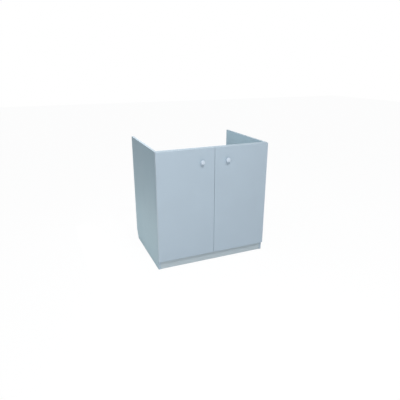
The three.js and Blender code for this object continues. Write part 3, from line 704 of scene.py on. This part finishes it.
def dress_cams():
    """Cast cams in their own shape, and nickel on the bolts, which lie hidden inside the boards."""
    for side in SIDES:
        for place in CAM_PLACES:
            name = f"cam_{place}_{side}"
            pressed_part(f"{name}_casting", name, "carcass", ZINC, CAM_EASE)
            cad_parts[f"cam_bolt_{place}_{side}"].material_slots[0].material = NICKEL


# ---- Door bumpers ----
BUMPER_RADIUS = 4 * MM
BUMPER_RISE = 1.9 * MM
BUMPER_RINGS = 12
BUMPER_AROUND = 32
BUMPER_FROM_MIDDLE = 11.5 * MM
TOP_BUMPER_UP = 50 * MM  # above the front rail's lower edge
BOTTOM_BUMPER_UP = 4.6 * MM  # above the door's lower edge


def add_bumpers():
    """Soft pads on the doors' backs, at the corners by the split: h(r) = rise (1 - (r / R)^3)."""
    radius = np.linspace(1.0, 0.05, BUMPER_RINGS) * BUMPER_RADIUS
    height = BUMPER_RISE * (1 - (radius / BUMPER_RADIUS) ** 3)
    rail_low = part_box("front_rail")[0].z
    for side, way in SIDES.items():
        low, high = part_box(f"door_{side}")
        for place, z in (("top", rail_low + TOP_BUMPER_UP), ("bottom", low.z + BOTTOM_BUMPER_UP)):
            name = f"bumper_{side}_{place}"
            seat = (way * BUMPER_FROM_MIDDLE, high.y, z)
            mesh = round_surface(name, radius, height, seat, (0, 1, 0), BUMPER_AROUND)
            add_piece(name, mesh, f"door_{side}", [RUBBER])


dress_boards()
dress_knobs()
dress_hinges()
dress_cams()
add_bumpers()


# ---- Camera, found from the photograph's edges ----
CAMERA_PLACE = (-1.0235, -2.4365, 1.2980)
CAMERA_YAW = math.radians(23.1272)  # from +Y towards +X
CAMERA_DIP = math.radians(19.5989)
CAMERA_ROLL = math.radians(0.0426)
LENS_MM = 33.838
SENSOR_MM = 36


def add_camera():
    """The photograph's view: turned by the yaw, lowered by the dip, rolled about its own line."""
    data = bpy.data.cameras.new("photo_camera")
    data.sensor_width = SENSOR_MM
    data.lens = LENS_MM
    camera = placed("photo_camera", data)
    level_ahead = Vector((math.sin(CAMERA_YAW), math.cos(CAMERA_YAW), 0))
    ahead = math.cos(CAMERA_DIP) * level_ahead - math.sin(CAMERA_DIP) * Vector((0, 0, 1))
    right = Vector((math.cos(CAMERA_YAW), -math.sin(CAMERA_YAW), 0))
    up = right.cross(ahead)
    rolled_right = math.cos(CAMERA_ROLL) * right + math.sin(CAMERA_ROLL) * up
    rolled_up = math.cos(CAMERA_ROLL) * up - math.sin(CAMERA_ROLL) * right
    turned = Matrix((rolled_right, rolled_up, -ahead)).transposed().to_4x4()
    camera.matrix_world = Matrix.Translation(CAMERA_PLACE) @ turned
    bpy.context.scene.camera = camera


# ---- Room: white paper sweep and soft lamps ----
FLOOR_HALF = 12.0
FLOOR_DROP = 0.2 * MM
FLOOR_WHITE_SHARE = 0.93
FLOOR_WHITE = 1.02  # lifted just enough that it and the lit paper add up to white
WORLD_LIGHT = 0.42
LAMPS = (
    # name, place, target, size, power in watts, tone
    ("front_lamp", (-0.3, -2.1, 2.9), (0, -0.29, 0.6), (0.5, 0.5), 37.5, LAMP_TONE),
    ("near_lamp", (-0.8, -1.5, 1.0), (0, -0.29, 0.4), (0.8, 0.8), 2.5, LAMP_TONE),
    ("inside_lamp", (-0.25, 0.1, 1.35), (0.3, 0.1, 0.5), (0.4, 0.3), 3.7, LAMP_TONE),
    ("low_left_lamp", (-0.85, 0.1, 0.03), (-0.4, 0.1, 0.25), (1.2, 0.3), 1.85, LOW_LAMP_TONE),
)


def any_ray(bench, kinds):
    """1 for a ray of one of these kinds, else 0."""
    path = bench.put("ShaderNodeLightPath").outputs
    found = path[kinds[0]]
    for kind in kinds[1:]:
        found = bench.calc("MAXIMUM", found, path[kind])
    return found


def add_floor():
    """A wide paper floor. A camera or a gloss sees it white, with a faint shadow on it."""
    half = FLOOR_HALF
    corners = [(-half, -half, 0), (half, -half, 0), (half, half, 0), (-half, half, 0)]
    mesh = bpy.data.meshes.new("floor")
    mesh.from_pydata(corners, [], [(0, 1, 2, 3)])
    floor = placed("floor", mesh)
    floor.location.z = -FLOOR_DROP
    material = bpy.data.materials.new("paper_floor")
    bench = cleared(material)
    paper = bench.put("ShaderNodeBsdfDiffuse", {"Color": colour(PAPER_TONE)}).outputs["BSDF"]
    glow = {"Color": WHITE, "Strength": FLOOR_WHITE}
    white = bench.put("ShaderNodeEmission", glow).outputs["Emission"]
    seen = any_ray(bench, ("Is Camera Ray", "Is Glossy Ray"))
    share = bench.calc("MULTIPLY", seen, FLOOR_WHITE_SHARE)
    both = bench.put("ShaderNodeMixShader", {0: share, 1: paper, 2: white}).outputs["Shader"]
    bench.put("ShaderNodeOutputMaterial", {"Surface": both})
    mesh.materials.append(material)


def add_lamp(name, place, target, size, power, tone):
    """A soft rectangular lamp that shines at a target."""
    data = bpy.data.lights.new(name, "AREA")
    data.shape = "RECTANGLE"
    data.size, data.size_y = size
    data.energy = power
    data.color = colour(tone)[:3]
    lamp = placed(name, data)
    lamp.visible_camera = False
    lamp.location = place
    lamp.rotation_euler = (Vector(target) - Vector(place)).to_track_quat("-Z", "Y").to_euler()


def add_world():
    """Even soft light from all round; what a camera, a gloss or a glass looks at is white."""
    world = bpy.data.worlds.new("studio")
    bpy.context.scene.world = world
    bench = cleared(world)
    light = bench.put("ShaderNodeBackground", {"Color": colour(SKY_TONE), "Strength": WORLD_LIGHT})
    white = bench.put("ShaderNodeBackground", {"Color": WHITE, "Strength": 1.0})
    seen = any_ray(bench, ("Is Camera Ray", "Is Glossy Ray", "Is Transmission Ray"))
    inputs = {0: seen, 1: light.outputs["Background"], 2: white.outputs["Background"]}
    mixed = bench.put("ShaderNodeMixShader", inputs).outputs["Shader"]
    bench.put("ShaderNodeOutputWorld", {"Surface": mixed})


add_camera()
add_floor()
add_world()
for lamp in LAMPS:
    add_lamp(*lamp)

scene = bpy.context.scene
scene.view_settings.view_transform = "Standard"
